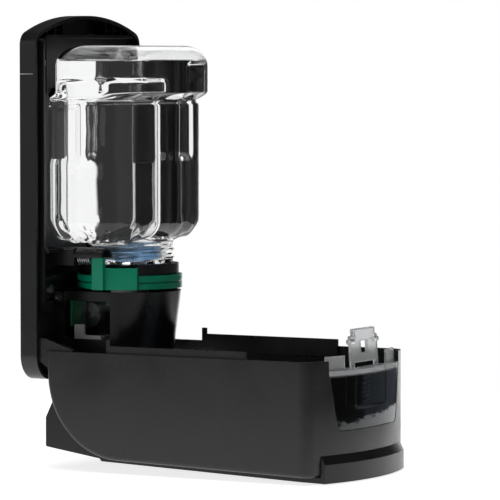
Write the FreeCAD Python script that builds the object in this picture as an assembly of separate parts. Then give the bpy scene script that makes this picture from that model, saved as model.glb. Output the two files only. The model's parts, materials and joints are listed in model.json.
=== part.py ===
import FreeCAD, Part
import math
import os

# Wall mounted touch-free soap dispenser, modelled with its cover swung open.
# Millimetres. X is the width, the wall face is the plane Y = 0 and the room is at -Y.
# Heights are counted from the bottom of the housing, and save() moves everything
# down so that the origin is the centre of the wall face. The cover and all that rides
# on it is drawn shut, in front of the tray, and opened about its hinge before saving.

# Housing
width = 146.0
height = 266.5
tray_depth = 14.0
wall = 2.5
bottom_corner = 18.0
top_corner = 10.0
arch_rise = 15.0
cap_seam = 223.6
seam_gap = 0.2
mount_spacing_x = 90.0
mount_spacing_z = 150.0
mount_hole_radius = 2.7

# Chassis
chassis_gap = 3.2
chassis_back = 8.0
chassis_sheet = 2.5
chassis_rim = 2.3
chassis_stand = 3.0
slot_top = 58.0
ledge_z = 93.0
low_ledge_z = 73.5
ledge_sheet = 2.5
bulge_bottom = 209.6
bulge_front = 11.6
bulge_inset = 18.0
bar_top_drop = 14.3

# Cover and hinge
cover_depth = 82.4
cover_lean = 6.5
cover_gap = 0.3
cover_bottom = 34.5
cover_bottom_rise = 6.1
cover_curve = 60.0
cover_edge = 3.0
hinge_behind_rim = 2.5
hinge_z = 25.0
open_angle = 90.0
pin_radius = 2.5
pin_clearance = 0.05
ear_radius = 6.0
ear_thickness = 4.0
side_clearance = 0.3
lip_height = 5.3
lip_top_drop = 66.0

# Front fascia
fascia_inset = 12.0
fascia_sheet = 2.2
fascia_stand = 4.2
fascia_bottom = 27.5
fascia_overhang = 3.2
fascia_return = 20.0
fascia_slope = 6.0
fascia_foot = 15.5
fascia_foot_lean = 6.6
fascia_step = 75.2

# Sight window and latch
window_half_top = 53.5
window_half_bottom = 44.5
window_depth = 50.2
window_sheet = 2.0
window_gap = 0.2
latch_half = 20.0
latch_sheet = 2.4
latch_reach = 20.3

# Dispensing axis, neck seat and release collar
axis_y = -49.0
closure_radius = 24.0
closure_flange = 3.0
closure_skirt = 8.0
plug_height = 18.0
flange_clearance = 0.6
neck_land = 4.4
seat_rim = 4.5
seat_top = 84.0
collar_overhang = 2.5
collar_space = 5.0
collar_bottom = 66.0
collar_height = 10.0
collar_travel = 5.0
block_bearing = 200.0
tab_x = -45.0
tab_width = 4.0
tab_back = -45.0
spring_z = 89.3
spring_room = 11.9

# Refill
bottle_inset = 8.0
bottle_wall = 1.3
bottle_corner = 13.5
bottle_front_corner = 25.0
bottle_step = 204.0
bottle_lower_back = -12.0
bottle_lower_front = -81.5
bottle_shift = 7.5
bottle_bottom = 101.0
bottle_top_drop = 22.2
fill_drop = 35.0
barrel_radius = 14.0
barrel_bore = 12.0
barrel_drop = 32.0
stem_radius = 5.0
sliding_fit = 0.06

# Batteries, AA size
cell_radius = 7.25
cell_length = 50.5
cell_gap = 0.5
cell_count = 4
bay_wall = 2.0
bay_bottom = 157.0

# Pump module
module_half = 38.5
module_wall = 2.2
module_bottom = 17.0
module_top = 64.0
module_nose_top = 38.0
module_nose_bottom = 30.5
window_back = -16.0
window_front = -55.0
window_low = 29.0
window_high = 57.0

# Gear train
rack_module = 1.0
rack_pinion_teeth = 14
train_module = 0.8
output_teeth = 28
small_teeth = 12
idler_teeth = 24
output_y = -29.0
output_z = 45.0
idler_y = -22.0
axle_radius = 1.5
gear_clearance = 0.05
motor_radius = 10.0
motor_length = 25.0

# Fasteners
screw_radius = 1.5
screw_head = 3.2
screw_head_height = 1.7

V = FreeCAD.Vector
half_width = width / 2
seat_bore = closure_radius + closure_flange + flange_clearance
neck_radius = seat_bore + neck_land
seat_radius = neck_radius + seat_rim
collar_radius = seat_radius + collar_overhang
collar_bore = closure_radius + collar_space
rim_y = -tray_depth - cover_gap
hinge_y = hinge_behind_rim - tray_depth
arch_radius = (half_width ** 2 + arch_rise ** 2) / (2 * arch_rise)
arch_centre = height - arch_radius
chassis_half = half_width - wall - chassis_gap
slot_half = half_width - wall - side_clearance - ear_thickness - 2 * side_clearance - 0.1
plate_front = -chassis_back - chassis_sheet
chassis_front = tray_depth + chassis_stand
front_y = rim_y - cover_depth
bay_half = cell_count * (2 * cell_radius + cell_gap) / 2
bay_top = bay_bottom + 2 * bay_wall + cell_length + 5.0
cell_y = -wall - 1.6 - cell_radius
door_y = cell_y - cell_radius - 0.3
bar_top = height - bar_top_drop
rack_pitch_y = output_y - rack_module * rack_pinion_teeth / 2


def box(x0, x1, y0, y1, z0, z1):
    return Part.makeBox(x1 - x0, y1 - y0, z1 - z0, V(x0, y0, z0))


def rod(radius, start, end):
    return Part.makeCylinder(radius, (end - start).Length, start, end - start)


def tube(outer, inner, start, end):
    return rod(outer, start, end).cut(rod(inner, start, end))


def fuse(shapes):
    return shapes[0].multiFuse(shapes[1:]).removeSplitter()


def cut(shape, tools):
    for tool in tools:
        shape = shape.cut(tool)
    return shape


def mirror(shape):
    return shape.mirror(V(0, 0, 0), V(1, 0, 0))


def with_mirror(shape):
    return Part.makeCompound([shape, mirror(shape)])


def upright(shape_radius, z0, z1, y=axis_y, x=0.0):
    return rod(shape_radius, V(x, y, z0), V(x, y, z1))


def ring(outer, inner, z0, z1, y=axis_y, x=0.0):
    return upright(outer, z0, z1, y, x).cut(upright(inner, z0, z1, y, x))


def rounded_outline(corners, place):
    """Closed wire through 2D corners given as (u, v, radius), placed by place(u, v)."""
    edges = []
    last = None
    first = None
    for index, (u, v, radius) in enumerate(corners):
        here = V(u, v, 0)
        before = V(*corners[index - 1][:2], 0) - here
        after = V(*corners[(index + 1) % len(corners)][:2], 0) - here
        before.normalize()
        after.normalize()
        start = end = here
        if radius > 0:
            half_turn = before.getAngle(after) / 2
            reach = radius / math.tan(half_turn)
            start = here + before * reach
            end = here + after * reach
            inward = before + after
            inward.normalize()
            middle = here + inward * (radius / math.sin(half_turn) - radius)
            arc = Part.Arc(place(start.x, start.y), place(middle.x, middle.y), place(end.x, end.y))
        if last is not None:
            edges.append(Part.LineSegment(place(last.x, last.y), place(start.x, start.y)).toShape())
        else:
            first = start
        if radius > 0:
            edges.append(arc.toShape())
        last = end
    edges.append(Part.LineSegment(place(last.x, last.y), place(first.x, first.y)).toShape())
    return Part.Wire(edges)


def prism_x(corners, x0, x1):
    """Corners (y, z, radius) swept from x0 to x1."""
    face = Part.Face(rounded_outline(corners, lambda y, z: V(x0, y, z)))
    return face.extrude(V(x1 - x0, 0, 0))


def prism_y(corners, y0, y1):
    """Corners (x, z, radius) swept from y0 to y1."""
    face = Part.Face(rounded_outline(corners, lambda x, z: V(x, y0, z)))
    return face.extrude(V(0, y1 - y0, 0))


def prism_z(corners, z0, z1):
    """Corners (x, y, radius) swept from z0 to z1."""
    face = Part.Face(rounded_outline(corners, lambda x, y: V(x, y, z0)))
    return face.extrude(V(0, 0, z1 - z0))


def straight_edges(shape, direction):
    """Straight edges of a shape that run along a direction."""
    found = []
    for edge in shape.Edges:
        if isinstance(edge.Curve, Part.Line):
            if abs(edge.Curve.Direction.dot(direction)) > 0.999:
                found.append(edge)
    return found


def coil(radius, wire, turns, start, direction, length):
    """Round-wire compression spring with its outside ends at start and start + length."""
    pitch = (length - 2 * wire) / turns
    path = Part.makeHelix(pitch, pitch * turns, radius)
    section = Part.Wire(Part.Circle(V(radius, 0, 0), V(0, 1, 0), wire).toShape())
    spring = Part.Wire(path).makePipeShell([section], True, True)
    spring.translate(V(0, 0, wire))
    spring.rotate(V(0, 0, 0), *turn_from_z(direction))
    spring.translate(start)
    return spring


def turn_from_z(direction):
    """Axis and angle in degrees that turn +Z to a direction."""
    turn = FreeCAD.Rotation(V(0, 0, 1), direction)
    return turn.Axis, math.degrees(turn.Angle)


def gear(teeth, module, x0, x1, y, z, tooth_angle, bore):
    """Spur gear about an X axis, with one tooth centred at tooth_angle in the YZ plane."""
    pitch_radius = teeth * module / 2
    tip = pitch_radius + 0.8 * module
    root = pitch_radius - 1.15 * module
    pitch_half = math.radians(360 / teeth) * 0.22
    points = []
    for tooth in range(teeth):
        centre = math.radians(tooth_angle) + tooth * 2 * math.pi / teeth
        profile = [(root, 1.75), (pitch_radius - 0.5 * module, 1.28), (pitch_radius, 1.0)]
        profile += [(pitch_radius + 0.45 * module, 0.72), (tip, 0.42)]
        for radius, share in profile:
            angle = centre - pitch_half * share
            points.append(V(x0, y + radius * math.cos(angle), z + radius * math.sin(angle)))
        for radius, share in reversed(profile):
            angle = centre + pitch_half * share
            points.append(V(x0, y + radius * math.cos(angle), z + radius * math.sin(angle)))
    points.append(points[0])
    body = Part.Face(Part.makePolygon(points)).extrude(V(x1 - x0, 0, 0))
    if bore > 0:
        body = body.cut(rod(bore, V(x0, y, z), V(x1, y, z)))
    return body


def screw(x, z, y_head, y_tip):
    """Pan head screw along Y, its head seated at y_head and its tip at y_tip."""
    head = rod(screw_head, V(x, y_head, z), V(x, y_head - screw_head_height, z))
    shank = rod(screw_radius, V(x, y_head, z), V(x, y_tip, z))
    slot = box(x - screw_head, x + screw_head, y_head - 2, y_head - 1, z - 0.4, z + 0.4)
    return fuse([head, shank]).cut(slot)


def open_cover(shape):
    """Swing a piece of the shut cover to its open rest position."""
    opened = shape.copy()
    opened.rotate(V(0, hinge_y, hinge_z), V(1, 0, 0), open_angle)
    return opened


def save(name, shape):
    placed = shape.copy()
    placed.translate(V(0, 0, -height / 2))
    placed.exportStep("parts/" + name + ".step")


# Housing

def side_corners(body, half, low, high):
    """Edges along Y at the two sides of a body, between two heights."""
    edges = []
    for edge in straight_edges(body, V(0, 1, 0)):
        middle = edge.valueAt((edge.FirstParameter + edge.LastParameter) / 2)
        if abs(abs(middle.x) - half) < 0.1 and low < middle.z < high:
            edges.append(edge)
    return edges


def housing_slab(inset, y0, y1):
    """Front outline of the dispenser, drawn in by inset and swept along Y."""
    half = half_width - inset
    block = box(-half, half, y0, y1, inset, height - inset)
    arch = rod(arch_radius - inset, V(0, y0, arch_centre), V(0, y1, arch_centre))
    body = block.common(arch)
    low = side_corners(body, half, -1, height / 2)
    body = body.makeFillet(max(bottom_corner - inset, 1.0), low)
    high = side_corners(body, half, height * 0.8, height)
    return body.makeFillet(max(top_corner - inset, 1.0), high)


def chassis_screw_places():
    lower = (half_width - 23.0, 66.0)
    upper = (half_width - 13.0, cap_seam + 8.0)
    return [(s * x, z) for x, z in (lower, upper) for s in (-1, 1)]


def mount_places():
    middle = height / 2
    return [(sx * mount_spacing_x / 2, middle + sz * mount_spacing_z / 2)
            for sx in (-1, 1) for sz in (-1, 1)]


def housing_shell():
    shell = housing_slab(0, -tray_depth, 0).cut(housing_slab(wall, -tray_depth - 1, -wall))
    posts = []
    for x, z in chassis_screw_places():
        posts.append(rod(4.0, V(x, -wall + 0.5, z), V(x, -chassis_back, z)))
    shell = fuse([shell] + posts)
    for x, z in chassis_screw_places():
        shell = shell.cut(rod(screw_radius, V(x, -wall, z), V(x, -chassis_back, z)))
    for x, z in mount_places():
        shell = shell.cut(rod(mount_hole_radius, V(x, 1, z), V(x, -wall - 1, z)))
    return shell


def wall_tray():
    return housing_shell().common(box(-width, width, -tray_depth, 0, 0, cap_seam - seam_gap / 2))


def top_cap():
    cap = housing_shell().common(box(-width, width, -tray_depth, 0, cap_seam + seam_gap / 2, height))
    ribs = []
    for x in (30.0, 41.0, 52.0, 62.0):
        for s in (-1, 1):
            ribs.append(box(s * x - 0.8, s * x + 0.8, -tray_depth + 3.6, -wall, bar_top + 0.3, height))
    for s in (-1, 1):
        ribs.append(box(s * 46 - 16, s * 46 + 16, -tray_depth + 5, -wall, bar_top + 3, bar_top + 4.2))
    inside = housing_slab(wall - 0.2, -tray_depth, 0)
    return fuse([cap] + [rib.common(inside) for rib in ribs])


def battery_bay():
    """Outside and inside of the battery bay, which is open towards the room."""
    side = bay_half + bay_wall
    outside = box(-side, side, door_y, -wall - 0.2, bay_bottom, bay_top)
    inside = box(-bay_half, bay_half, door_y - 1, cell_y + cell_radius + 0.3,
                 bay_bottom + bay_wall, bay_top - bay_wall)
    return outside, inside


def chassis():
    sheet = housing_slab(wall + chassis_gap, plate_front, -chassis_back)
    sheet = sheet.common(box(-width, width, plate_front, -chassis_back, 0, bar_top - 2))
    side = box(chassis_half - chassis_rim, chassis_half, -chassis_front, -chassis_back,
               slot_top, bar_top - 2)
    side = side.common(housing_slab(wall + chassis_gap, -chassis_front, -chassis_back))
    bar = box(-chassis_half + 1, chassis_half - 1, -tray_depth - 2, -chassis_back, bar_top - 2.4, bar_top)
    bar = bar.common(housing_slab(wall + chassis_gap, -chassis_front, -chassis_back))
    bulge_half = half_width - bulge_inset
    bulge = box(-bulge_half, bulge_half, -bulge_front, -chassis_back, bulge_bottom, bar_top - 1.2)
    hollow = box(-bulge_half + 2, bulge_half - 2, -bulge_front + 2, 0, bulge_bottom + 2, bar_top - 3.2)
    ledge = box(-slot_half, slot_half, -chassis_front - 3, -chassis_back, ledge_z, ledge_z + ledge_sheet)
    low_ledge = box(collar_radius + 1.5, slot_half - 0.6, -tray_depth - 2, -chassis_back,
                    low_ledge_z, low_ledge_z + ledge_sheet)
    hip = box(module_half + 6, slot_half, -tray_depth + 0.5, -chassis_back, slot_top - 8, slot_top)
    cheek = rod(ear_radius, V(slot_half - 4, hinge_y, hinge_z), V(slot_half, hinge_y, hinge_z))
    root = box(slot_half - 4, slot_half, hinge_y, -chassis_back, hinge_z - ear_radius, hinge_z + ear_radius)
    outside, inside = battery_bay()
    frame = fuse([sheet, side, mirror(side), bar, ledge, low_ledge, mirror(low_ledge), hip, mirror(hip)])
    frame = frame.cut(bulge)
    frame = fuse([frame, bulge.cut(hollow), cheek, mirror(cheek), root, mirror(root), outside])
    catch = prism_x([(-tray_depth - 2, bar_top, 0), (-tray_depth - 2, bar_top + 1, 0),
                     (-tray_depth + 2, bar_top, 0)], -4.5, 4.5)
    frame = fuse([frame, catch]).cut(inside)
    pin_bore = pin_radius + 0.02
    notches = [box(s * (slot_half + half_width) / 2 - (half_width - slot_half) / 2,
                   s * (slot_half + half_width) / 2 + (half_width - slot_half) / 2,
                   -chassis_front - 5, 0, 0, slot_top) for s in (-1, 1)]
    tools = notches + [rod(pin_bore, V(-width, hinge_y, hinge_z), V(width, hinge_y, hinge_z))]
    tools.append(upright(neck_radius + 2, seat_top, bottle_bottom))
    tools.append(spring_boss(0.0))
    head_room = rod(pin_radius + 1.5, V(slot_half - 6.2, hinge_y, hinge_z),
                    V(slot_half - 4, hinge_y, hinge_z))
    tools += [head_room, mirror(head_room)]
    for x, z in chassis_screw_places():
        tools.append(rod(screw_radius + 0.1, V(x, 0, z), V(x, -chassis_front, z)))
    for x, z in mount_places():
        tools.append(rod(2 * mount_hole_radius, V(x, -wall - 1, z), V(x, -chassis_front, z)))
    for x, z in module_screw_places():
        tools.append(rod(screw_radius, V(x, 0, z), V(x, -chassis_front, z)))
    return cut(frame, tools)


def battery_door():
    door = box(-bay_half - 1.6, bay_half + 1.6, door_y - 1.6, door_y - 0.05,
               bay_bottom + 0.6, bay_top - 0.6)
    door = door.makeFillet(1.2, straight_edges(door, V(0, 1, 0)))
    grooves = []
    for index in range(4):
        z = bay_top - 12 - 3 * index
        grooves.append(box(-12, 12, door_y - 2, door_y - 1.0, z, z + 1.2))
    return cut(door, grooves)


def cell_places():
    step = 2 * cell_radius + cell_gap
    return [(index - (cell_count - 1) / 2) * step for index in range(cell_count)]


def battery_cells():
    cells = []
    z = bay_bottom + bay_wall + 4.0
    for x in cell_places():
        body = upright(cell_radius, z, z + cell_length - 1.5, cell_y, x)
        cap = upright(2.7, z + cell_length - 1.5, z + cell_length, cell_y, x)
        cells.append(fuse([body, cap]))
    return Part.makeCompound(cells)


def battery_contacts():
    """A flat plate at the top of each cell and a bent leaf spring below it."""
    pieces = []
    floor = bay_bottom + bay_wall
    roof = bay_top - bay_wall
    for x in cell_places():
        pieces.append(box(x - 5, x + 5, cell_y - 5, cell_y + 5, roof - 0.5, roof))
        base = box(x - 5, x + 5, cell_y - 5, cell_y + 5, floor, floor + 0.5)
        leaf = prism_y([(x - 5, floor + 0.4, 0), (x - 4, floor + 0.4, 0), (x + 1, floor + 3.3, 0),
                        (x + 4, floor + 3.3, 0), (x + 4, floor + 3.8, 0), (x + 0.8, floor + 3.8, 0)],
                       cell_y - 2, cell_y + 2)
        pieces.append(fuse([base, leaf]))
    return Part.makeCompound(pieces)


def chassis_screws():
    return Part.makeCompound([screw(x, z, plate_front, -wall - 0.6) for x, z in chassis_screw_places()])


def hinge_pins():
    pin_end = half_width - wall - side_clearance - 0.1
    pin = rod(pin_radius, V(slot_half - 6, hinge_y, hinge_z), V(pin_end, hinge_y, hinge_z))
    head = rod(pin_radius + 1.3, V(slot_half - 6, hinge_y, hinge_z), V(slot_half - 4.05, hinge_y, hinge_z))
    return with_mirror(fuse([pin, head]))


# Cover, drawn shut

def cover_side(inset, back):
    """Side outline of the cover, drawn in by inset, with its open side at back."""
    low = cover_bottom + inset
    return [(back, low, 0), (front_y + cover_lean + inset, low + cover_bottom_rise, cover_curve - inset),
            (front_y + inset, height + 10, 0), (back, height + 10, 0)]


def cover_outside():
    body = housing_slab(0, front_y - 10, rim_y).common(prism_x(cover_side(0, rim_y), -width, width))
    edges = []
    for edge in body.Edges:
        middle = edge.valueAt((edge.FirstParameter + edge.LastParameter) / 2)
        along_y = isinstance(edge.Curve, Part.Line) and abs(edge.Curve.Direction.y) > 0.999
        if middle.y < rim_y - 0.5 and not along_y and edge.BoundBox.XLength < width - 1:
            edges.append(edge)
    return body, edges


def cover_body(outer):
    inner = housing_slab(wall, front_y - 10, rim_y + 5)
    inner = inner.common(prism_x(cover_side(wall, rim_y + 5), -width, width))
    return outer.cut(inner)


def window_edge():
    """Y of the window's free edge, a little inside the rim."""
    return rim_y - 7.7


def window_outline(gap, back):
    """The window, seen from above the shut cover, drawn in by gap."""
    return [(-window_half_top + gap, back, 0), (-window_half_bottom + gap, rim_y - window_depth + gap, 6),
            (window_half_bottom - gap, rim_y - window_depth + gap, 6), (window_half_top - gap, back, 0)]


def fascia_screw_places():
    x = half_width - fascia_inset - 10
    return [(s * x, z) for z in (height * 0.55, height * 0.87) for s in (-1, 1)]


def cover_shell(outer):
    shell = cover_body(outer)
    ear_outer = half_width - wall - side_clearance
    ear_inner = ear_outer - ear_thickness
    hub = rod(ear_radius, V(ear_inner, hinge_y, hinge_z), V(ear_outer, hinge_y, hinge_z))
    arm = prism_x([(hinge_y + ear_radius, hinge_z, 0), (hinge_y, hinge_z - ear_radius, 0),
                   (hinge_y - 8, hinge_z - 1, 0), (rim_y - 16, cover_bottom + 6, 0),
                   (rim_y - 16, cover_bottom + 22, 0), (rim_y + 1, cover_bottom + 22, 0),
                   (hinge_y + ear_radius, hinge_z + 8, 0)], ear_inner, ear_outer)
    bond = box(ear_inner, ear_outer + 1, rim_y - 16, rim_y - 0.7, cover_bottom + 4, cover_bottom + 22)
    lip_low = cover_bottom + 54
    lip_inner = ear_outer - 2.2
    lip = box(lip_inner, ear_outer, rim_y - 8, rim_y + lip_height, lip_low, height - lip_top_drop)
    lip_root = box(lip_inner, ear_outer + 1, rim_y - 8, rim_y - 0.3, lip_low - 3.5, height - lip_top_drop)
    tooth = box(lip_inner, ear_outer, rim_y - 8, rim_y + 9.8, lip_low - 3.5, lip_low)
    side = fuse([hub, arm, bond, lip, lip_root, tooth])
    shell = fuse([shell, side, mirror(side)])
    opening = prism_z(window_outline(0, window_edge()), height - 30, height + 5)
    gap = box(-window_half_top, window_half_top, window_edge() - 0.01, rim_y + 20, height - 30, height + 5)
    bay = box(-module_half - 3, module_half + 3, front_y - 20, rim_y + 1, 0, cover_bottom + 79)
    bore = rod(pin_radius + pin_clearance, V(-width, hinge_y, hinge_z), V(width, hinge_y, hinge_z))
    shell = cut(shell, [opening, gap, bay, bore])
    for x, z in fascia_screw_places():
        shell = shell.cut(rod(screw_radius + 0.1, V(x, front_y - 5, z), V(x, front_y + 20, z)))
    return shell


def fascia_side(inset):
    """Side outline of the fascia: a foot under the cover, a step, and a long leaning front."""
    base = front_y - fascia_stand
    foot = base + fascia_foot + inset
    top = height + 20
    return [(foot + 21.3 - 2 * inset, fascia_bottom, 0), (foot, fascia_bottom, 1.5),
            (foot - fascia_foot_lean, fascia_step - 1.6, 0), (foot - fascia_foot_lean - 2, fascia_step, 0),
            (base + 0.9 + inset, height * 0.9, 0), (base + inset, top, 0), (rim_y - 10, top, 0),
            (rim_y - 20, cover_bottom + 22, 0), (foot + 33.6, fascia_bottom + 6, 0)]


def fascia_front_at(z):
    """Y of the fascia's outer face at a height above its step."""
    base = front_y - fascia_stand
    low_y = base + fascia_foot - fascia_foot_lean - 2
    share = (z - fascia_step) / (height * 0.9 - fascia_step)
    return low_y + (base + 0.9 - low_y) * share


def front_fascia(outer):
    half = half_width - fascia_inset
    body = prism_x(fascia_side(0), -half, half)
    back_edge = front_y - fascia_stand + fascia_return
    slope = V(0, back_edge - fascia_slope, arch_centre)
    crown = rod(arch_radius + fascia_overhang, V(0, front_y - 20, arch_centre), slope)
    end = Part.makeCone(arch_radius + fascia_overhang, arch_radius + 0.2, fascia_slope, slope, V(0, 1, 0))
    crown = fuse([crown, end, rod(arch_radius, V(0, back_edge - 1, arch_centre), V(0, 0, arch_centre))])
    body = body.common(crown)
    back = box(-width, width, back_edge, 0, height * 0.8, height + 20)
    body = body.cut(back)
    room = prism_x(fascia_side(fascia_sheet), -half + fascia_sheet, half - fascia_sheet)
    slot = box(-half + fascia_sheet, half - fascia_sheet, front_y + 15, 0,
               fascia_bottom - 5, cover_bottom + 30)
    room = room.common(rod(arch_radius, V(0, front_y - 20, arch_centre), V(0, 0, arch_centre)))
    shell = cut(body, [room, slot, outer])
    bosses = []
    for x, z in fascia_screw_places():
        boss = rod(3.5, V(x, fascia_front_at(z) + 1.0, z), V(x, front_y + 15, z))
        bosses.append(boss.cut(outer))
    shell = fuse([shell] + bosses)
    for x, z in fascia_screw_places():
        shell = shell.cut(rod(screw_radius, V(x, fascia_front_at(z) + 1.6, z), V(x, front_y + 20, z)))
    return shell


def fascia_screws():
    screws = []
    for x, z in fascia_screw_places():
        inner = cover_front_at(z) + wall
        head = rod(screw_head, V(x, inner + 0.4, z), V(x, inner + 0.4 + screw_head_height, z))
        shank = rod(screw_radius, V(x, inner + 0.4, z), V(x, fascia_front_at(z) + 1.7, z))
        slot = box(x - screw_head, x + screw_head, inner + 1.2, inner + 3, z - 0.4, z + 0.4)
        screws.append(fuse([head, shank]).cut(slot))
    return Part.makeCompound(screws)


def cover_front_at(z):
    """Y of the cover's outer front face at a height."""
    low = cover_bottom + cover_bottom_rise
    share = (z - low) / (height + 10 - low)
    return front_y + cover_lean * (1 - share)


def sight_window():
    top_edge = window_edge()
    zone = prism_z(window_outline(window_gap, top_edge), height - 40, height + 5)
    pane = housing_slab(0.2, front_y, 0).cut(housing_slab(0.2 + window_sheet, front_y - 1, 1))
    pane = pane.common(zone)
    lip_zone = box(-window_half_top + 1.5, window_half_top - 1.5, top_edge - 2.5, top_edge,
                   height - 40, height)
    lip = housing_slab(0.2, front_y, 0).cut(housing_slab(4.5, front_y - 1, 1)).common(lip_zone)
    tabs = []
    for x0, x1 in ((-window_half_top + 1.5, -33.0), (30.0, 50.0)):
        tab = housing_slab(wall + 0.4, front_y, 0).cut(housing_slab(wall + 2.2, front_y - 1, 1))
        tabs.append(tab.common(box(x0, x1, top_edge - 1, rim_y + 2.8, height - 40, height)))
    guides = []
    for s in (-1, 1):
        x = s * (latch_half + 2.4)
        guide = box(x - 1, x + 1, rim_y - 34, top_edge + 1, height - 11, height)
        guides.append(guide.common(housing_slab(1.0, front_y, 0)))
    seat = box(-latch_half - 2.4, latch_half + 2.4, rim_y - 36, rim_y - 34, height - 11, height)
    seat = seat.common(housing_slab(1.0, front_y, 0))
    return fuse([pane, lip] + tabs + guides + [seat])


def latch_line(share):
    """Height of the latch plate's middle along its length, 0 at the inner end, 1 at the tip."""
    return height - 7.6 - 2.4 * share


def latch_piece():
    low = rim_y - 9.7
    tip = rim_y + latch_reach
    half = latch_sheet / 2
    plate = prism_x([(low, latch_line(0) - half, 0), (tip, latch_line(1) - half, 0.8),
                     (tip, latch_line(1) + half, 0.8), (low, latch_line(0) + half, 0)],
                    -latch_half, latch_half)
    head = prism_x([(tip - 7.5, latch_line(0.8) - half - 0.2, 0.6), (tip, latch_line(1) - half - 0.2, 1),
                    (tip, latch_line(1) + half + 1.2, 1), (tip - 7.5, latch_line(0.8) + half + 1.2, 0.6)],
                   -latch_half + 5, latch_half - 5)
    hole_low = tip - 17.5
    hole = box(-5.3, 5.3, hole_low, hole_low + 8.4, height - 30, height)
    frame = box(-latch_half + 4, latch_half - 4, low + 2.5, low + 6, height - 30, height)
    sides = box(-latch_half - 1, latch_half + 1, tip - 12, tip + 1, height - 30, height)
    sides = sides.cut(box(-latch_half + 4, latch_half - 4, tip - 13, tip + 2, height - 31, height + 1))
    shoulders = [sides.common(box(-width, width, tip - 5, tip + 1, height - 30, height))]
    barrel = rod(2.2, V(-latch_half - 1.2, tip - 9, latch_line(0.7)),
                 V(-latch_half + 5, tip - 9, latch_line(0.7)))
    post = rod(1.6, V(0, low - 4, latch_line(0)), V(0, low + 1, latch_line(0)))
    body = cut(fuse([plate, head]), [hole, frame] + shoulders)
    return fuse([body, barrel, mirror(barrel), post])


def latch_spring_piece():
    low = rim_y - 34
    return coil(2.6, 0.35, 7, V(0, low, latch_line(0)), V(0, 1, 0), 24.3)


# Neck seat, collar and refill

def neck_seat():
    plate = ring(seat_radius, seat_bore, seat_top - 4, seat_top)
    skirt = ring(seat_radius, seat_radius - 2, collar_bottom + collar_height + 0.5, seat_top)
    arm = box(-18, 18, axis_y + seat_bore, plate_front, collar_bottom + collar_height + 1, seat_top)
    arm = arm.cut(upright(seat_radius - 1, 0, height))
    return fuse([plate, skirt, arm])


def spring_boss(grow):
    """Block that the release spring pushes against, fixed to the chassis."""
    stop = tab_back + spring_room
    boss = box(tab_x - 7.6 - grow, tab_x + 7.6 + grow, stop, plate_front, spring_z - 5.5, spring_z + 7.4)
    return boss.makeFillet(3, [e for e in straight_edges(boss, V(0, 1, 0)) if e.Vertexes[0].Z > spring_z])


def spring_guard():
    front = tab_back - 12
    stop = tab_back + spring_room
    hood = tube(7.6, 6.2, V(tab_x, front, spring_z), V(tab_x, stop, spring_z))
    hood = hood.common(box(-width, width, front, stop, spring_z + 0.4, height))
    return fuse([hood, spring_boss(0.0)])


def release_collar():
    z0 = collar_bottom
    z1 = z0 + collar_height
    disc = upright(collar_radius, z0, z1)
    groove = ring(collar_radius + 1, collar_radius - 1.2, z0 + 4.2, z0 + 5.4)
    opening = fuse([upright(collar_bore, z0 - 1, z1 + 1),
                    upright(collar_bore, z0 - 1, z1 + 1, axis_y - collar_travel),
                    box(-collar_bore, collar_bore, axis_y - collar_travel, axis_y, z0 - 1, z1 + 1)])
    block = fuse([box(30, collar_radius + 3.5, -14, 14, z0, z1),
                  box(seat_radius + 2, collar_radius + 3.5, -14, 14, z1 - 1, z1 + 6)])
    block.rotate(V(0, 0, 0), V(0, 0, 1), block_bearing)
    block.translate(V(0, axis_y, 0))
    arm = box(tab_x - tab_width / 2, -neck_radius, tab_back - 9.5, tab_back, z0, z1)
    tab = box(tab_x - tab_width / 2, tab_x + tab_width / 2, tab_back - 9.5, tab_back, z0, spring_z + 0.7)
    back = box(-width, width, axis_y + neck_radius, 0, z0 - 1, z1 + 1)
    body = disc.cut(groove)
    return cut(fuse([body, block, arm, tab]), [opening, back])


def release_spring():
    return coil(4.4, 0.45, 6, V(tab_x, tab_back + 0.1, spring_z), V(0, 1, 0), spring_room - 0.2)


def bottle_form(inset):
    """Outer form of the bottle drawn in by inset: a lower block, a top block set forward, a neck."""
    half = half_width - bottle_inset - inset
    top = height - bottle_top_drop - inset
    corner = bottle_corner - inset
    low_back = bottle_lower_back - inset
    low_front = bottle_lower_front + inset
    lower = box(-half, half, low_front, low_back, bottle_bottom + inset, bottle_step + 4 - inset)
    upper = box(-half, half, low_front - bottle_shift, low_back - bottle_shift, bottle_step + inset, top)
    blocks = []
    for block in (lower, upper):
        middle = block.BoundBox.Center.y
        front = [e for e in straight_edges(block, V(0, 0, 1)) if e.BoundBox.YMin < middle]
        block = block.makeFillet(bottle_front_corner - inset, front)
        limit = low_back - bottle_shift - 1
        back = [e for e in straight_edges(block, V(0, 0, 1)) if e.BoundBox.YMin > limit]
        blocks.append(block.makeFillet(corner, back))
    lower, upper = blocks
    rim = bottle_bottom + inset + 0.01
    lower = lower.makeFillet(corner - 1, [e for e in lower.Edges if e.BoundBox.ZMax < rim])
    upper = upper.makeFillet(corner - 1, [e for e in upper.Edges if e.BoundBox.ZMin > top - 0.01])
    neck = upright(neck_radius - inset, seat_top + 0.3 + (inset > 0) * 1.7, bottle_bottom + 8)
    return fuse([lower, upper, neck])


def bottle_recess(grow):
    """Channel down the back of the bottle that clears the battery tower."""
    return box(-bay_half - 4 - grow, bay_half + 4 + grow, door_y - 3.2 - grow, 0, 0, bay_top + 2 + grow)


def bottle_body(inset):
    """The bottle's form less its back channel, which stops short of the neck."""
    channel = bottle_recess(inset).cut(upright(neck_radius, 0, bottle_bottom))
    return bottle_form(inset).cut(channel)


def refill_bottle():
    outside = bottle_body(0)
    inside = bottle_body(bottle_wall)
    mouth = upright(closure_radius + 0.02, 0, seat_top + 6)
    beads = [ring(neck_radius + 1.2, neck_radius - 0.5, z, z + 1.6) for z in (seat_top + 4, seat_top + 9)]
    return cut(fuse([outside] + beads), [inside, mouth])


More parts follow.
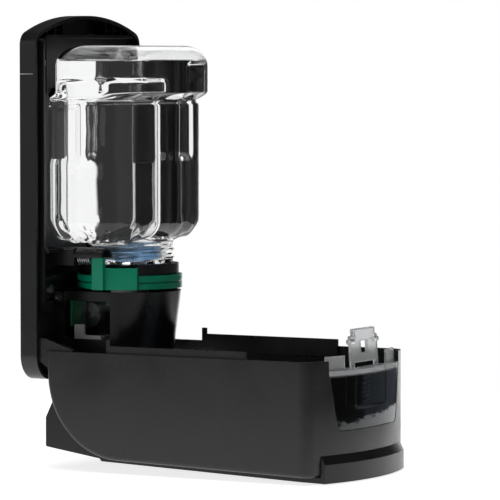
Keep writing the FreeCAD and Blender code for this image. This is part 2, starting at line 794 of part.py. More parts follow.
def turned(points, y=axis_y):
    """Solid turned about the dispensing axis from (radius, height) points."""
    wire = Part.makePolygon([V(r, y, z) for r, z in points + points[:1]])
    return Part.Face(wire).revolve(V(0, y, 0), V(0, 0, 1), 360)


def pump_closure():
    r = closure_radius
    flange = closure_radius + closure_flange
    base = seat_top
    skirt = base - closure_skirt
    top = base + plug_height
    return turned([(r, skirt), (r - 2, skirt), (r - 2, base + 11), (11, base + 13.4), (8.2, top),
                   (9.8, top), (12.4, base + 15), (r, base + 12.8), (r, base + 0.02),
                   (flange, base + 0.02), (flange, base - 2.3), (r, base - 2.3)])


def soap_fill():
    """The liquid: the bottle's inside up to the fill line, around the pump closure."""
    room = bottle_body(bottle_wall)
    level = box(-width, width, -width, 0, seat_top, height - fill_drop)
    top = seat_top + plug_height
    plug = turned([(0, seat_top - 1), (closure_radius, seat_top - 1), (closure_radius, seat_top + 12.8),
                   (12.4, seat_top + 15), (9.8, top), (0, top)])
    mouth = upright(closure_radius + 0.02, 0, seat_top + 6)
    return cut(room.common(level), [plug, mouth])


def neck_seal():
    return ring(closure_radius + closure_flange, closure_radius + 0.02, seat_top + 0.02, seat_top + 0.3)


def pump_barrel():
    base = seat_top - barrel_drop
    inner = closure_radius - 2
    guide = stem_radius + sliding_fit
    return turned([(barrel_bore, base + 1.6), (guide, base + 1.6), (guide, base), (barrel_radius, base),
                   (barrel_radius, base + 25), (inner, base + 25), (inner, base + 27),
                   (barrel_bore, base + 27)])


def pump_piston():
    base = seat_top - barrel_drop
    head = barrel_bore - sliding_fit
    tip = module_bottom - 3
    return turned([(2.5, tip), (stem_radius - 1, tip), (stem_radius, tip + 2), (stem_radius, base - 20.7),
                   (9, base - 20.7), (9, base - 18.7), (stem_radius, base - 18.7), (stem_radius, base + 4),
                   (head, base + 4), (head, base + 8.5), (2.5, base + 8.5)])


def pump_spring():
    base = seat_top - barrel_drop
    return coil(6.6, 0.5, 6, V(0, axis_y, base - 18.6), V(0, 0, 1), 18.5)


# Pump module

def nose_outline(inset, nose, z):
    """Plan of the pump module: flat sides and a half-elliptical nose."""
    half = module_half - inset
    nose = nose - inset
    curve = Part.Ellipse(V(0, axis_y, z), half, nose)
    left = V(-half, axis_y, z)
    right = V(half, axis_y, z)
    arc = Part.ArcOfEllipse(curve, math.pi, 2 * math.pi).toShape()
    back = plate_front + (1.0 if inset > 0 else 0.0)
    lines = [Part.LineSegment(right, V(half, back, z)).toShape(),
             Part.LineSegment(V(half, back, z), V(-half, back, z)).toShape(),
             Part.LineSegment(V(-half, back, z), left).toShape()]
    return Part.Wire([arc] + lines)


def nose_body(inset, z0, z1):
    low = nose_outline(inset, module_nose_bottom, z0)
    high = nose_outline(inset, module_nose_top, z1)
    return Part.makeLoft([low, high], True, True)


def module_screw_places():
    return [(s * (module_half + 4), module_top - 4) for s in (-1, 1)]


def pump_housing():
    body = nose_body(0, module_bottom, module_top)
    room = nose_body(module_wall, module_bottom + 2, module_top + 0.01)
    flange = box(module_half - 1, module_half + 8, plate_front - 2.5, plate_front,
                 module_top - 8, module_top)
    corners = [(window_back, window_low, 4), (window_back, window_high, 4),
               (window_front, window_high, 4), (window_front, window_low, 4)]
    opening = prism_x(corners, -module_half - 1, -module_half + module_wall + 1)
    shell = fuse([body, flange, mirror(flange)]).cut(room)
    bosses = []
    for y, z in ((output_y, output_z), (idler_y, idler_z())):
        bosses.append(rod(3.2, V(module_half - module_wall - 2, y, z), V(module_half - 0.5, y, z)))
    shell = fuse([shell] + bosses)
    tools = [opening, upright(stem_radius + 3, 0, module_bottom + 3)]
    tools.append(upright(5.3, 0, module_bottom + 3, axis_y - 20))
    tools.append(upright(2.7, 0, module_bottom + 3, axis_y - 17, 14))
    for y, z in ((output_y, output_z), (idler_y, idler_z())):
        tools.append(rod(axle_radius, V(20, y, z), V(module_half - 1, y, z)))
    for x, z in module_screw_places():
        tools.append(rod(screw_radius + 0.1, V(x, 0, z), V(x, -chassis_front, z)))
    return cut(shell, tools)


def module_screws():
    head_y = plate_front - 2.5
    return Part.makeCompound([screw(x, z, head_y, -chassis_back) for x, z in module_screw_places()])


def idler_z():
    reach = train_module * (output_teeth + small_teeth) / 2
    return output_z - math.sqrt(reach ** 2 - (idler_y - output_y) ** 2)


def motor_z():
    return idler_z() + train_module * (idler_teeth + small_teeth) / 2


def output_gear():
    bore = axle_radius + gear_clearance
    to_idler = math.degrees(math.atan2(idler_z() - output_z, idler_y - output_y))
    pinion = gear(rack_pinion_teeth, rack_module, 26, 31, output_y, output_z, 180, bore)
    wheel = gear(output_teeth, train_module, 20, 24, output_y, output_z, to_idler, bore)
    hub = tube(4, bore, V(23.9, output_y, output_z), V(26.1, output_y, output_z))
    return fuse([wheel, hub, pinion])


def idler_gear():
    bore = axle_radius + gear_clearance
    to_output = math.degrees(math.atan2(output_z - idler_z(), output_y - idler_y))
    small = gear(small_teeth, train_module, 20, 24, idler_y, idler_z(), to_output + 180 / small_teeth, bore)
    wheel = gear(idler_teeth, train_module, 14, 17, idler_y, idler_z(), 90, bore)
    hub = tube(3, bore, V(16.9, idler_y, idler_z()), V(20.1, idler_y, idler_z()))
    return fuse([wheel, hub, small])


def motor_pinion():
    pinion = gear(small_teeth, train_module, 14, 17, idler_y, motor_z(), -90 + 180 / small_teeth, 0)
    shaft = rod(1.0, V(9, idler_y, motor_z()), V(14.1, idler_y, motor_z()))
    return fuse([pinion, shaft])


def motor():
    z = motor_z()
    can = rod(motor_radius, V(11 - motor_length, idler_y, z), V(11, idler_y, z))
    nose = rod(3, V(11, idler_y, z), V(12.4, idler_y, z))
    tail = rod(3, V(11 - motor_length - 1.5, idler_y, z), V(11 - motor_length, idler_y, z))
    body = fuse([can, nose, tail])
    return body.cut(rod(1.0 + gear_clearance, V(8.9, idler_y, z), V(13, idler_y, z)))


def gear_axles():
    end = module_half - 1
    first = rod(axle_radius, V(17.9, output_y, output_z), V(end, output_y, output_z))
    second = rod(axle_radius, V(12.8, idler_y, idler_z()), V(end, idler_y, idler_z()))
    return Part.makeCompound([first, second])


def gearbox_plate():
    """Plate between the two gear layers that carries the inner ends of the axles."""
    z = idler_z()
    plate = box(17.7, 19.4, output_y - 4, plate_front, z - 5, output_z + 5)
    foot = box(17.7, 33, plate_front - 2, plate_front, output_z + 2, output_z + 8)
    tools = [rod(axle_radius, V(17, output_y, output_z), V(20, output_y, output_z)),
             rod(3.1, V(17, idler_y, z), V(20, idler_y, z))]
    return cut(fuse([plate, foot]), tools)


def actuator_yoke():
    low = 27.0
    high = 31.0
    hub = ring(14, stem_radius + 1.2, low, high)
    right = box(8, 31, axis_y + 3, axis_y + 9, low, high)
    left = box(-35.6, -8, axis_y + 3, axis_y + 9, low, high)
    lever = prism_x([(-14, 20, 0), (-14, 25, 1), (-23, 26, 1), (-23, 39.4, 1), (-31, 39.4, 1),
                     (-31, 31.6, 1), (-45, 31.6, 0), (-45, 20, 0)], -35.6, -33)
    root_y = rack_pitch_y - 1.25 * rack_module
    points = [V(26, root_y - 4, low), V(26, root_y - 4, 56)]
    pitch = math.pi * rack_module
    teeth = []
    for index in range(-5, 3):
        z = output_z + (index + 0.5) * pitch
        teeth += [V(26, root_y, z + 0.33 * pitch), V(26, rack_pitch_y, z + 0.22 * pitch),
                  V(26, rack_pitch_y + 0.8 * rack_module, z + 0.12 * pitch),
                  V(26, rack_pitch_y + 0.8 * rack_module, z - 0.12 * pitch),
                  V(26, rack_pitch_y, z - 0.22 * pitch), V(26, root_y, z - 0.33 * pitch)]
    teeth.sort(key=lambda p: -p.z)
    outline = points + [V(26, root_y, 56)] + teeth + [V(26, root_y, low)]
    rack = Part.Face(Part.makePolygon(outline + outline[:1])).extrude(V(5, 0, 0))
    return cut(fuse([hub, right, left, lever, rack]), [upright(stem_radius + 1.2, 0, 40)])


def circuit_board():
    board = box(-35.4, -16, -21, -19.4, 38, 60)
    chip = box(-30, -22, -22.2, -21, 50, 56)
    small = box(-21, -18, -22, -21, 42, 47)
    return fuse([board, chip, small])


def sensor_board():
    board = box(-9, 18, axis_y - 24.5, axis_y - 15.4, module_bottom + 4, module_bottom + 5.2)
    eye = upright(2.5, module_bottom + 2.4, module_bottom + 4.2, axis_y - 20)
    return fuse([board, eye])


def sensor_lens():
    return fuse([upright(5.25, module_bottom - 0.4, module_bottom + 2, axis_y - 20),
                 upright(3.5, module_bottom - 0.9, module_bottom, axis_y - 20)])


def status_light():
    return fuse([upright(2.65, module_bottom - 0.4, module_bottom + 4, axis_y - 17, 14)])


def main():
    os.makedirs("parts", exist_ok=True)
    plain, edges = cover_outside()
    rounded = plain.makeFillet(cover_edge, edges)
    cover = {"cover_shell": cover_shell(rounded), "front_fascia": front_fascia(plain),
             "fascia_screws": fascia_screws(), "sight_window": sight_window(),
             "cover_latch": latch_piece(), "latch_spring": latch_spring_piece()}
    for name, shape in cover.items():
        save(name, open_cover(shape))
    makers = [wall_tray, top_cap, chassis, battery_door, battery_cells, battery_contacts,
              chassis_screws, hinge_pins, neck_seat, spring_guard, release_collar, release_spring,
              refill_bottle, soap_fill, pump_closure, neck_seal, pump_barrel, pump_piston, pump_spring,
              pump_housing, module_screws, output_gear, idler_gear, motor_pinion, motor, gear_axles,
              gearbox_plate, actuator_yoke, circuit_board, sensor_board, sensor_lens, status_light]
    for maker in makers:
        save(maker.__name__, maker())


main()
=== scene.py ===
import bpy
import bmesh
import json
import math
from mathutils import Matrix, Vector


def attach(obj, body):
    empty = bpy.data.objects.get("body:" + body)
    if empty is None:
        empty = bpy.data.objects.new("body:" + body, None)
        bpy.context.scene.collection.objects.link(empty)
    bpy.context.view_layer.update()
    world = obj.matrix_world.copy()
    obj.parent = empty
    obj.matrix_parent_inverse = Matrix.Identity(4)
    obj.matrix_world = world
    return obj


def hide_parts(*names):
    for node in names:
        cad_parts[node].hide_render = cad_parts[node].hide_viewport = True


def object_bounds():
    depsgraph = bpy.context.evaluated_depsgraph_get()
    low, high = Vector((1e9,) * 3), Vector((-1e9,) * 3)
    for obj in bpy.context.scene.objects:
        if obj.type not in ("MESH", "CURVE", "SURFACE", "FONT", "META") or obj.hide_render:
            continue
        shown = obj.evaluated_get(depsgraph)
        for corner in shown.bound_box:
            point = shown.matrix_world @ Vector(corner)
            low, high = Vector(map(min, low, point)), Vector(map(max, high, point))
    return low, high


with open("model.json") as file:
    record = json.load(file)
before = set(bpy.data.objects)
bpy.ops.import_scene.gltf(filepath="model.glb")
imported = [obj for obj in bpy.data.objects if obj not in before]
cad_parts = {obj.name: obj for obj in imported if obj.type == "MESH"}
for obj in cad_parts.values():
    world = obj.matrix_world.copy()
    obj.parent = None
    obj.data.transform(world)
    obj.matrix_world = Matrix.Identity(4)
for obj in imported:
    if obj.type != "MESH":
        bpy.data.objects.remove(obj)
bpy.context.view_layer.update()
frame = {"nodes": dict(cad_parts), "record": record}
MM = 0.001
HALF_HEIGHT = 133.25     # the housing's half height: heights here are counted from its bottom


def at(x, y, z):
    """A point in metres, from millimetres with z counted from the bottom of the housing."""
    return Vector((x * MM, y * MM, (z - HALF_HEIGHT) * MM))


# Camera, floor and lights

CAMERA_AZIMUTH = -60.65
CAMERA_ELEVATION = 2.98
CAMERA_DISTANCE = 2767.75
AIM_RIGHT = 131.92       # the point aimed at, to the right of the origin and above the housing's bottom
AIM_HEIGHT = 91.94
LENS = 266.7
FLOOR_RADIUS = 0.62
FLOOR_GLOW = 0.78
FLOOR_DROP = 0.0006      # keeps the floor just clear of the cover that lies nearest to it


def add_camera():
    azimuth = math.radians(CAMERA_AZIMUTH)
    elevation = math.radians(CAMERA_ELEVATION)
    back = Vector((math.sin(azimuth) * math.cos(elevation), -math.cos(azimuth) * math.cos(elevation),
                   math.sin(elevation)))
    right = Vector((math.cos(azimuth), math.sin(azimuth), 0))
    target = right * AIM_RIGHT * MM + at(0, 0, AIM_HEIGHT)
    data = bpy.data.cameras.new("camera")
    data.sensor_width = 36.0
    data.lens = LENS
    data.clip_end = 50.0
    camera = bpy.data.objects.new("camera", data)
    camera.location = target + back * CAMERA_DISTANCE * MM
    camera.rotation_euler = back.to_track_quat("Z", "Y").to_euler()
    bpy.context.scene.collection.objects.link(camera)
    bpy.context.scene.camera = camera


def add_floor(level):
    mesh = bpy.data.meshes.new("floor")
    build = bmesh.new()
    bmesh.ops.create_circle(build, cap_ends=True, segments=96, radius=FLOOR_RADIUS)
    build.to_mesh(mesh)
    build.free()
    floor = bpy.data.objects.new("floor", mesh)
    floor.location = (0, 0, level)
    bpy.context.scene.collection.objects.link(floor)
    material, tree, shader = new_material("floor")
    shader.inputs["Base Color"].default_value = (0.93, 0.93, 0.93, 1)
    shader.inputs["Roughness"].default_value = 0.9
    shader.inputs["Specular IOR Level"].default_value = 0.1
    shader.inputs["Emission Color"].default_value = (1, 1, 1, 1)
    shader.inputs["Emission Strength"].default_value = FLOOR_GLOW
    mesh.materials.append(material)


def add_light(name, place, aim, size, power, size_y=None):
    data = bpy.data.lights.new(name, "AREA")
    data.shape = "RECTANGLE"
    data.size = size
    data.size_y = size_y or size
    data.energy = power
    light = bpy.data.objects.new(name, data)
    light.location = place
    light.rotation_euler = (Vector(aim) - Vector(place)).to_track_quat("-Z", "Y").to_euler()
    bpy.context.scene.collection.objects.link(light)


def world_math(tree, operation, first, second):
    node = tree.nodes.new("ShaderNodeMath")
    node.operation = operation
    for socket, value in zip(node.inputs, (first, second)):
        if isinstance(value, (int, float)):
            socket.default_value = value
        else:
            tree.links.new(value, socket)
    return node.outputs["Value"]


def world_card(tree, bearing, centre, half, edge, bright):
    """A bright upright card in the studio, from its bearing and half width in degrees."""
    off = world_math(tree, "ABSOLUTE", world_math(tree, "SUBTRACT", bearing, math.radians(centre)), 0)
    node = tree.nodes.new("ShaderNodeMapRange")
    node.interpolation_type = "SMOOTHSTEP"
    node.inputs["From Min"].default_value = math.radians(half - edge)
    node.inputs["From Max"].default_value = math.radians(half + edge)
    node.inputs["To Min"].default_value = bright
    node.inputs["To Max"].default_value = 0.0
    tree.links.new(off, node.inputs["Value"])
    return node.outputs["Result"]


def add_world():
    """A white backdrop seen directly; clear plastic shows the studio's white cards and dark gaps."""
    world = bpy.data.worlds.new("studio")
    world.use_nodes = True
    tree = world.node_tree
    path = tree.nodes.new("ShaderNodeLightPath")
    place = tree.nodes.new("ShaderNodeTexCoord")
    split = tree.nodes.new("ShaderNodeSeparateXYZ")
    tree.links.new(place.outputs["Generated"], split.inputs["Vector"])
    bearing = world_math(tree, "ARCTAN2", split.outputs["Y"], split.outputs["X"])
    cards = world_math(tree, "MAXIMUM", world_card(tree, bearing, 34, 70, 1.5, 0.97),
                       world_card(tree, bearing, -102, 28, 6, 0.5))
    through = world_math(tree, "MAXIMUM", cards, 0.03)
    clear_ray = path.outputs["Is Transmission Ray"]
    through = world_math(tree, "MULTIPLY", through, clear_ray)
    strip = world_math(tree, "ADD", world_card(tree, bearing, 14, 9, 3, 1.9), 0.045)
    strip = world_math(tree, "ADD", strip, world_card(tree, bearing, 146, 34, 12, 0.10))
    other = world_math(tree, "MULTIPLY", world_math(tree, "SUBTRACT", 1.0, clear_ray), strip)
    studio = world_math(tree, "ADD", through, other)
    level = world_math(tree, "MAXIMUM", studio, path.outputs["Is Camera Ray"])
    background = tree.nodes["Background"]
    background.inputs["Color"].default_value = (1, 1, 1, 1)
    tree.links.new(level, background.inputs["Strength"])
    bpy.context.scene.world = world
    bpy.context.scene.view_settings.view_transform = "Standard"


# Materials

SOFT_EDGE = 0.0006       # how far a moulded piece's edges look rounded, in metres


def new_material(name):
    material = bpy.data.materials.new(name)
    material.use_nodes = True
    tree = material.node_tree
    return material, tree, tree.nodes["Principled BSDF"]


def link(tree, a, b):
    tree.links.new(a, b)


def noise(tree, scale, detail=3.0, rough=0.5):
    place = tree.nodes.new("ShaderNodeTexCoord")
    node = tree.nodes.new("ShaderNodeTexNoise")
    node.inputs["Scale"].default_value = scale
    node.inputs["Detail"].default_value = detail
    node.inputs["Roughness"].default_value = rough
    link(tree, place.outputs["Object"], node.inputs["Vector"])
    return node.outputs["Fac"]


def ramp(tree, value, low, high, from_low=0.3, from_high=0.7):
    node = tree.nodes.new("ShaderNodeMapRange")
    node.inputs["From Min"].default_value = from_low
    node.inputs["From Max"].default_value = from_high
    node.inputs["To Min"].default_value = low
    node.inputs["To Max"].default_value = high
    link(tree, value, node.inputs["Value"])
    return node.outputs["Result"]


def blend_colour(tree, value, first, second):
    node = tree.nodes.new("ShaderNodeMix")
    node.data_type = "RGBA"
    node.inputs["A"].default_value = (*first, 1)
    node.inputs["B"].default_value = (*second, 1)
    link(tree, value, node.inputs["Factor"])
    return node.outputs["Result"]


def add_bump(tree, shader, height, strength, distance, edge=0.0):
    bump = tree.nodes.new("ShaderNodeBump")
    bump.inputs["Strength"].default_value = strength
    bump.inputs["Distance"].default_value = distance
    link(tree, height, bump.inputs["Height"])
    if edge > 0:
        bevel = tree.nodes.new("ShaderNodeBevel")
        bevel.samples = 4
        bevel.inputs["Radius"].default_value = edge
        link(tree, bevel.outputs["Normal"], bump.inputs["Normal"])
    link(tree, bump.outputs["Normal"], shader.inputs["Normal"])


def moulded(name, colour, rough, grain=2200.0, grain_depth=0.00002, spread=0.15, specular=0.5):
    """Moulded plastic: fine spark grain, cloudy gloss from handling, softened edges."""
    material, tree, shader = new_material(name)
    cloud = noise(tree, 28.0, 4.0)
    lighter = tuple(min(1.0, c * (1 + spread) + 0.002) for c in colour)
    darker = tuple(c * (1 - spread) for c in colour)
    shade = blend_colour(tree, ramp(tree, cloud, 0.0, 1.0), darker, lighter)
    link(tree, shade, shader.inputs["Base Color"])
    link(tree, ramp(tree, cloud, rough * 0.85, rough * 1.2), shader.inputs["Roughness"])
    shader.inputs["IOR"].default_value = 1.5
    shader.inputs["Specular IOR Level"].default_value = specular
    add_bump(tree, shader, noise(tree, grain, 2.0), 0.35, grain_depth, SOFT_EDGE)
    return material


def clear(name, ior, rough, tint=(1, 1, 1), ripple=0.0, ripple_scale=30.0):
    """Clear plastic with a faint ripple from moulding."""
    material, tree, shader = new_material(name)
    cloud = noise(tree, 40.0, 3.0)
    pale = tuple(c * 0.985 for c in tint)
    link(tree, blend_colour(tree, ramp(tree, cloud, 0.0, 1.0), pale, tint), shader.inputs["Base Color"])
    link(tree, ramp(tree, cloud, rough * 0.6, rough * 1.5), shader.inputs["Roughness"])
    shader.inputs["Transmission Weight"].default_value = 1.0
    shader.inputs["IOR"].default_value = ior
    if ripple > 0:
        add_bump(tree, shader, noise(tree, ripple_scale, 2.0), 0.5, ripple)
    return material


def zone(tree, axis, low, high):
    """0 below a place along an object axis and 1 above another, in metres."""
    place = tree.nodes.new("ShaderNodeTexCoord")
    split = tree.nodes.new("ShaderNodeSeparateXYZ")
    link(tree, place.outputs["Object"], split.inputs["Vector"])
    return ramp(tree, split.outputs[axis], 0.0, 1.0, low, high)


PANE_TOP = -0.1226       # height of the pane's upper edge with the cover open, in metres


def window_plastic(name):
    """Clear plastic, dark tinted in the pane and frosted by wear on the tabs and latch above it."""
    material = clear(name, 1.49, 0.03)
    tree = material.node_tree
    shader = tree.nodes["Principled BSDF"]
    high = zone(tree, "Z", PANE_TOP - 0.001, PANE_TOP + 0.001)
    shade = blend_colour(tree, high, (0.10, 0.12, 0.15), (0.93, 0.94, 0.95))
    link(tree, shade, shader.inputs["Base Color"])
    link(tree, ramp(tree, high, 0.02, 0.17, 0.0, 1.0), shader.inputs["Roughness"])
    link(tree, ramp(tree, high, 1.0, 0.72, 0.0, 1.0), shader.inputs["Transmission Weight"])
    shader.inputs["Specular IOR Level"].default_value = 0.3
    add_bump(tree, shader, noise(tree, 180.0, 3.0), 0.4, 0.0001, 0.0008)
    return material


def frosted_bottle(name):
    """Clear blown plastic with a textured panel on its right front corner."""
    material = clear(name, 1.4, 0.004, (0.985, 0.99, 0.99), 0.0006, 26.0)
    tree = material.node_tree
    shader = tree.nodes["Principled BSDF"]
    panel = world_math(tree, "MULTIPLY", zone(tree, "X", 0.040, 0.047), zone(tree, "Y", -0.052, -0.058))
    link(tree, ramp(tree, panel, 0.004, 0.26, 0.0, 1.0), shader.inputs["Roughness"])
    return material


def metal(name, colour, rough, grain=900.0):
    material, tree, shader = new_material(name)
    cloud = noise(tree, 160.0, 3.0)
    darker = tuple(c * 0.8 for c in colour)
    link(tree, blend_colour(tree, ramp(tree, cloud, 0.0, 1.0), darker, colour), shader.inputs["Base Color"])
    link(tree, ramp(tree, cloud, rough * 0.7, rough * 1.3), shader.inputs["Roughness"])
    shader.inputs["Metallic"].default_value = 1.0
    add_bump(tree, shader, noise(tree, grain, 2.0), 0.3, 0.00001, 0.0002)
    return material


def make_materials():
    kinds = {}
    kinds["housing_plastic"] = moulded("housing_plastic", (0.009, 0.009, 0.0095), 0.30)
    kinds["chassis_plastic"] = moulded("chassis_plastic", (0.006, 0.006, 0.0065), 0.36, grain=1500.0)
    kinds["cover_plastic"] = moulded("cover_plastic", (0.010, 0.010, 0.0105), 0.27)
    kinds["fascia_plastic"] = moulded("fascia_plastic", (0.010, 0.010, 0.011), 0.24, specular=0.34)
    kinds["green_plastic"] = moulded("green_plastic", (0.000, 0.33, 0.18), 0.30, spread=0.06)
    kinds["white_plastic"] = moulded("white_plastic", (0.78, 0.78, 0.77), 0.42, spread=0.03)
    kinds["gear_plastic"] = moulded("gear_plastic", (0.70, 0.68, 0.62), 0.40, spread=0.04)
    kinds["board_green"] = moulded("board_green", (0.01, 0.15, 0.06), 0.35, grain=700.0)
    kinds["cell_sleeve"] = moulded("cell_sleeve", (0.05, 0.05, 0.055), 0.30)
    kinds["seal_rubber"] = moulded("seal_rubber", (0.55, 0.55, 0.53), 0.60)
    kinds["spring_steel"] = metal("spring_steel", (0.45, 0.45, 0.46), 0.30)
    kinds["zinc_steel"] = metal("zinc_steel", (0.66, 0.66, 0.67), 0.32)
    kinds["motor_steel"] = metal("motor_steel", (0.62, 0.62, 0.63), 0.35)
    kinds["clear_plastic"] = window_plastic("clear_plastic")
    kinds["bottle_plastic"] = frosted_bottle("bottle_plastic")
    kinds["blue_plastic"] = clear("blue_plastic", 1.49, 0.25, (0.50, 0.74, 0.98))
    kinds["lens_dark"] = moulded("lens_dark", (0.02, 0.002, 0.004), 0.08, grain_depth=0.000002)
    kinds["light_lens"] = clear("light_lens", 1.49, 0.30, (0.85, 0.92, 0.88))
    kinds["soap_liquid"] = clear("soap_liquid", 1.36, 0.01, (0.98, 0.99, 0.99))
    return kinds


def dress_nodes(kinds):
    """Give every CAD node the material of its slot."""
    slots = {entry["node"]: entry["material_slot"] for entry in frame["record"]["subparts"]}
    for name, piece in frame["nodes"].items():
        piece.data.materials.clear()
        piece.data.materials.append(kinds[slots[name]])


# The refill bottle: a clear blown bottle full of clear liquid, with air above the fill line.
# Sizes in millimetres, z counted from the bottom of the housing.

AXIS_Y = -49.0           # the neck's axis
BOTTLE_HALF = 65.0
BOTTLE_BACK = -12.0
BOTTLE_FRONT = -81.5
BOTTLE_SHIFT = 7.5       # how far the upper block stands forward of the lower one
FRONT_CORNER = 25.0
BACK_CORNER = 14.0
BOTTLE_BOTTOM = 101.0
BOTTLE_TOP = 244.3
ROUND_LOW = 17.0         # roundings of the bottom edge and of the shoulder
ROUND_TOP = 15.0
STEP_START = 199         # the groove and step between the two blocks
STEP_END = 213
FILL_LEVEL = 231.5
AIR_WALL = 1.4
NECK_RADIUS = 32.0
CUP_RADIUS = 29.4        # the hollow in the neck that the pump closure stands in
CUP_TOP = 103.6
MOUTH = 84.4


def soft_step(value, edge, width):
    """0 below the edge and 1 above it, smooth over the width."""
    share = min(1.0, max(0.0, (value - edge) / width + 0.5))
    return share * share * (3 - 2 * share)


def soft_box(u, v, u0, u1, v0, v1, width):
    """1 inside a rectangle and 0 outside it, with soft edges."""
    inside_u = soft_step(u, u0, width) * (1 - soft_step(u, u1, width))
    return inside_u * soft_step(v, v0, width) * (1 - soft_step(v, v1, width))


def rounded_ring(half_x, front, back, front_corner, back_corner, z):
    """Points round a rounded rectangle, the same count whatever its size."""
    points = []
    centres = [(half_x - front_corner, front + front_corner, -90, front_corner),
               (half_x - back_corner, back - back_corner, 0, back_corner),
               (-half_x + back_corner, back - back_corner, 90, back_corner),
               (-half_x + front_corner, front + front_corner, 180, front_corner)]
    arc, run = 14, 20
    for index, (x, y, start, corner) in enumerate(centres):
        for step in range(arc + 1):
            turn = math.radians(start + 90 * step / arc)
            points.append((x + corner * math.cos(turn), y + corner * math.sin(turn), z))
        nx, ny, _, after = centres[(index + 1) % 4]
        turn = math.radians(start + 90)
        x0, y0 = points[-1][0], points[-1][1]
        x1, y1 = nx + after * math.cos(turn), ny + after * math.sin(turn)
        for step in range(1, run):
            share = step / run
            points.append((x0 + (x1 - x0) * share, y0 + (y1 - y0) * share, z))
    return points


def bottle_point(x, y, z, inset):
    """Press the grips, the panel frame and the channel for the battery bay into the plain form."""
    back_room = soft_step(218.5, z, 5) * (1 - soft_step(abs(x), 38 + inset, 4))
    limit = -22.6 - inset
    if y > limit:
        y += (limit - y) * back_room
    grip = soft_box(y, z, -44, -8, 161, 201, 5)
    x -= math.copysign(2.6 * grip * soft_step(abs(x), 55, 8), x)
    frame_out = soft_box(x, z, 18, 50, 205, 231, 3.5)
    frame_in = soft_box(x, z, 22, 46, 209, 227, 3.5)
    if y < -70:
        y += 2.2 * frame_out - 1.2 * frame_in
    ripple = soft_step(119, z, 10)
    wave = math.sin(x * 0.36 + 1.3) * math.sin(y * 0.41) + 0.6 * math.sin(x * 0.9 + y * 0.8)
    z += 1.1 * ripple * wave * soft_step(math.hypot(x, y - AXIS_Y), 36, 6)
    return x, y, z


def bottle_levels(inset, low, high):
    """Ring sizes up the bottle: bottom curve, lower block, step groove, upper block and shoulder."""
    levels = []
    bottom, top = BOTTLE_BOTTOM + inset, BOTTLE_TOP - inset
    steps = 14
    for step in range(steps + 1):
        turn = math.pi / 2 * step / steps
        drop = ROUND_LOW * (1 - math.sin(turn))
        levels.append((bottom + ROUND_LOW * (1 - math.cos(turn)), drop, 0.0))
    z = bottom + ROUND_LOW + 3
    while z < STEP_START:
        levels.append((z, 0.0, 0.0))
        z += 3.0
    for step in range(13):
        z = STEP_START + step
        groove = 1.9 * math.exp(-((z - 203.5) / 1.6) ** 2)
        levels.append((z, groove, soft_step(z, 207, 7)))
    z = STEP_END
    while z < top - ROUND_TOP - 1:
        levels.append((z, 0.0, 1.0))
        z += 2.0
    for step in range(steps + 1):
        turn = math.pi / 2 * step / steps
        levels.append((top - ROUND_TOP + ROUND_TOP * math.sin(turn), ROUND_TOP * (1 - math.cos(turn)), 1.0))
    return [level for level in levels if low <= level[0] <= high]


def bottle_rings(inset, low, high):
    rings = []
    for z, draw, share in bottle_levels(inset, low, high):
        half = BOTTLE_HALF - inset - draw
        back = BOTTLE_BACK - inset - draw - BOTTLE_SHIFT * share
        front = BOTTLE_FRONT + inset + draw - BOTTLE_SHIFT * share
        ring = rounded_ring(half, front, back, FRONT_CORNER - inset - 0.4 * draw,
                            BACK_CORNER - inset - 0.3 * draw, z)
        rings.append([bottle_point(*point, inset) for point in ring])
    return rings


def aligned_ring(pattern, radius, z):
    """A round ring whose points lie in the directions of another ring's points."""
    points = []
    for x, y, _ in pattern:
        span = math.hypot(x, y - AXIS_Y)
        points.append((radius * x / span, AXIS_Y + radius * (y - AXIS_Y) / span, z))
    return points


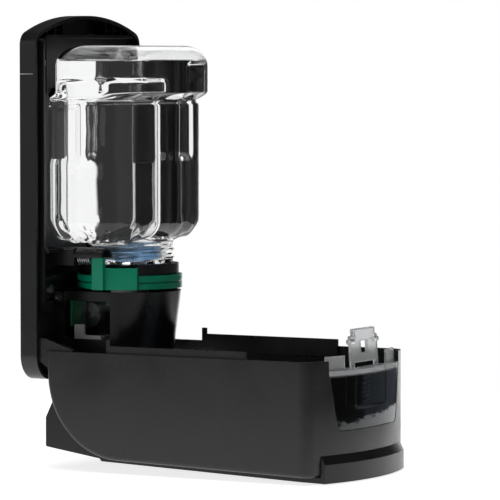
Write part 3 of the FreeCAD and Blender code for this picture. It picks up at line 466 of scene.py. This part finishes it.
def skin(build, rings, close_first, close_last, flip=False):
    """Join rings into one closed surface."""
    rows = [[build.verts.new(at(*point)) for point in ring] for ring in rings]
    faces = []
    for low, high in zip(rows, rows[1:]):
        for index in range(len(low)):
            after = (index + 1) % len(low)
            faces.append(build.faces.new((low[index], low[after], high[after], high[index])))
    for row, wanted, turned in ((rows[0], close_first, True), (rows[-1], close_last, False)):
        if wanted:
            centre = build.verts.new(sum((vert.co for vert in row), Vector()) / len(row))
            for index in range(len(row)):
                pair = (row[index], row[(index + 1) % len(row)])
                faces.append(build.faces.new((pair[1], pair[0], centre) if turned else (*pair, centre)))
    if flip:
        bmesh.ops.reverse_faces(build, faces=faces)
    return faces


def mesh_object(name, build, material):
    mesh = bpy.data.meshes.new(name)
    build.to_mesh(mesh)
    build.free()
    for polygon in mesh.polygons:
        polygon.use_smooth = True
    mesh.materials.append(material)
    piece = bpy.data.objects.new(name, mesh)
    bpy.context.scene.collection.objects.link(piece)
    return piece


def add_bottle(kinds):
    """One closed skin with a hollow for the closure in its neck, and an air pocket turned inwards."""
    build = bmesh.new()
    body = bottle_rings(0.0, 0, BOTTLE_TOP)
    pattern = body[0]
    cup = [(CUP_TOP + 3.2, 4.0), (CUP_TOP + 2.6, 14.0), (CUP_TOP, CUP_RADIUS - 3),
           (CUP_TOP - 3, CUP_RADIUS), (95, CUP_RADIUS), (MOUTH, CUP_RADIUS)]
    beads = [(86.6, 0.0), (87.2, 1.0), (88.4, 1.3), (89.6, 1.0), (90.2, 0.0), (92.4, 0.0),
             (93.0, 1.0), (94.0, 1.3), (95.0, 1.0), (95.6, 0.0), (98.0, 0.0), (100.0, 0.6)]
    neck = [(MOUTH, NECK_RADIUS)] + [(z, NECK_RADIUS + out) for z, out in beads]
    rings = [aligned_ring(pattern, radius, z) for z, radius in cup + neck]
    skin(build, rings + body, True, True)
    air = bottle_rings(AIR_WALL, FILL_LEVEL, BOTTLE_TOP)
    skin(build, air, True, True, flip=True)
    piece = mesh_object("filled_bottle", build, kinds["bottle_plastic"])
    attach(piece, "refill")
    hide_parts("refill_bottle", "soap_fill")


def main():
    add_camera()
    add_world()
    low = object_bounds()[0]
    add_floor(low[2] - FLOOR_DROP)
    add_light("overhead", (-0.3, -0.3, 2.0), (0, -0.1, 0), 1.6, 15)
    add_light("side", (-2.2, 1.2, 0.7), (0, -0.1, 0), 0.9, 3.2, 1.6)
    kinds = make_materials()
    dress_nodes(kinds)
    add_bottle(kinds)


main()
